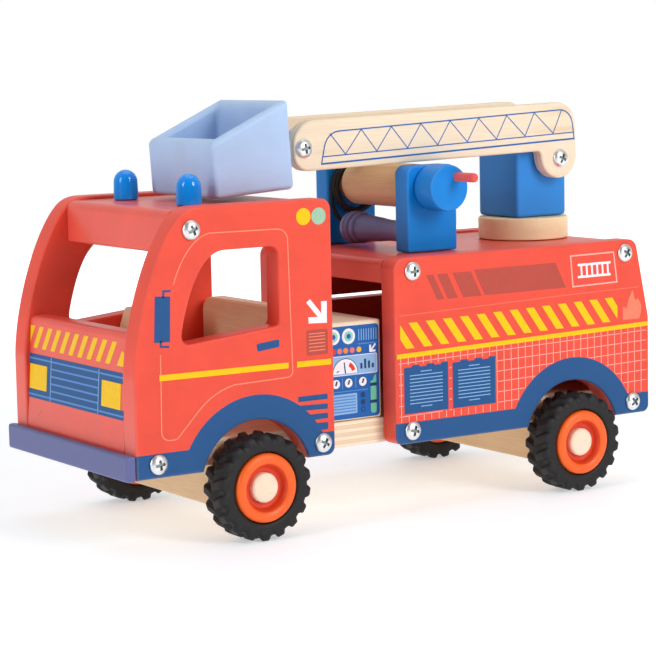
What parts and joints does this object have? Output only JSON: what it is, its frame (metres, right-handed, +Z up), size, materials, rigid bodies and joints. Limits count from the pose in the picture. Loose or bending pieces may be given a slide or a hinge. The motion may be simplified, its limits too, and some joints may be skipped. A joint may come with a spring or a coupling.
{
  "type": "toy fire engine",
  "caption": "Wooden toy fire engine with an open cab, a turning and lifting boom with a tilting rescue basket, a cranked hose winch and rolling wheels.",
  "frame": {"origin": "on the floor under the middle of the engine's overall length and width", "axes": "+X towards the front bumper, +Y to the engine's left, +Z up"},
  "size_m": [0.3333, 0.1508, 0.2176],
  "materials": {
    "red_paint": "satin paint on plywood",
    "blue_paint": "satin paint",
    "lavender_paint": "satin paint",
    "pale_blue_paint": "satin paint",
    "peg_red_paint": "satin paint",
    "birch_ply": "clear matt lacquer",
    "beech": "clear matt lacquer",
    "black_rubber": "matt",
    "orange_plastic": "satin moulded",
    "zinc_steel": "bright zinc plate",
    "grey_lavender_paint": "satin paint",
    "black_cord": "matt cord"
  },
  "bodies": {
    "vehicle": {"deck_board": "red_paint", "tail_board": "red_paint", "cab_side_left": "red_paint", "cab_side_right": "red_paint", "cab_roof": "red_paint", "grille_panel": "red_paint", "rear_side_left": "red_paint", "rear_side_right": "red_paint", "chassis_board": "birch_ply", "front_axle_block": "birch_ply", "rear_axle_block": "birch_ply", "seat_back": "birch_ply", "seat_block": "birch_ply", "pump_box": "birch_ply", "bumper": "lavender_paint", "beacon_left": "blue_paint", "beacon_right": "blue_paint", "winch_post_left": "blue_paint", "winch_post_right": "blue_paint", "cab_screw_left_1": "zinc_steel", "cab_screw_left_2": "zinc_steel", "cab_screw_left_3": "zinc_steel", "cab_screw_right_1": "zinc_steel", "cab_screw_right_2": "zinc_steel", "cab_screw_right_3": "zinc_steel", "body_screw_left_1": "zinc_steel", "body_screw_left_2": "zinc_steel", "body_screw_left_3": "zinc_steel", "body_screw_left_4": "zinc_steel", "body_screw_right_1": "zinc_steel", "body_screw_right_2": "zinc_steel", "body_screw_right_3": "zinc_steel", "body_screw_right_4": "zinc_steel", "nozzle": "grey_lavender_paint", "hose_coil": "black_cord", "hose_lead": "black_cord"},
    "front_wheels": {"front_axle": "beech", "front_hub_left": "orange_plastic", "front_hub_right": "orange_plastic", "front_tyre_left": "black_rubber", "front_tyre_right": "black_rubber"},
    "rear_wheels": {"rear_axle": "beech", "rear_hub_left": "orange_plastic", "rear_hub_right": "orange_plastic", "rear_tyre_left": "black_rubber", "rear_tyre_right": "black_rubber"},
    "turret": {"turntable_disc": "beech", "turret_block": "blue_paint", "turret_pin": "beech", "boom_bolt": "zinc_steel"},
    "boom": {"boom_plate_left": "birch_ply", "boom_plate_right": "birch_ply", "basket_bolt": "zinc_steel"},
    "basket": {"basket": "pale_blue_paint", "basket_tongue": "pale_blue_paint"},
    "winch": {"winch_drum": "beech", "winch_spindle": "beech", "crank_disc": "blue_paint", "crank_peg": "peg_red_paint"}
  },
  "joints": [
    {"name": "front_wheels_spin", "type": "hinge", "parent": "vehicle", "child": "front_wheels", "pos_m": [0.0928, 0, 0.0271], "axis": [0, 1, 0], "continuous": true},
    {"name": "rear_wheels_spin", "type": "hinge", "parent": "vehicle", "child": "rear_wheels", "pos_m": [-0.1112, 0, 0.0271], "axis": [0, 1, 0], "continuous": true},
    {"name": "turret_turn", "type": "hinge", "parent": "vehicle", "child": "turret", "pos_m": [-0.1299, 0, 0.141], "axis": [0, 0, 1], "continuous": true},
    {"name": "boom_lift", "type": "hinge", "parent": "turret", "child": "boom", "pos_m": [-0.1359, 0, 0.1801], "axis": [0, -1, 0], "range_deg": [0, 65]},
    {"name": "basket_tilt", "type": "hinge", "parent": "boom", "child": "basket", "pos_m": [0.03578, 0, 0.19241], "axis": [0, -1, 0], "range_deg": [0, 60]},
    {"name": "winch_spin", "type": "hinge", "parent": "vehicle", "child": "winch", "pos_m": [-0.0394, 0, 0.169], "axis": [0, 1, 0], "continuous": true}
  ]
}
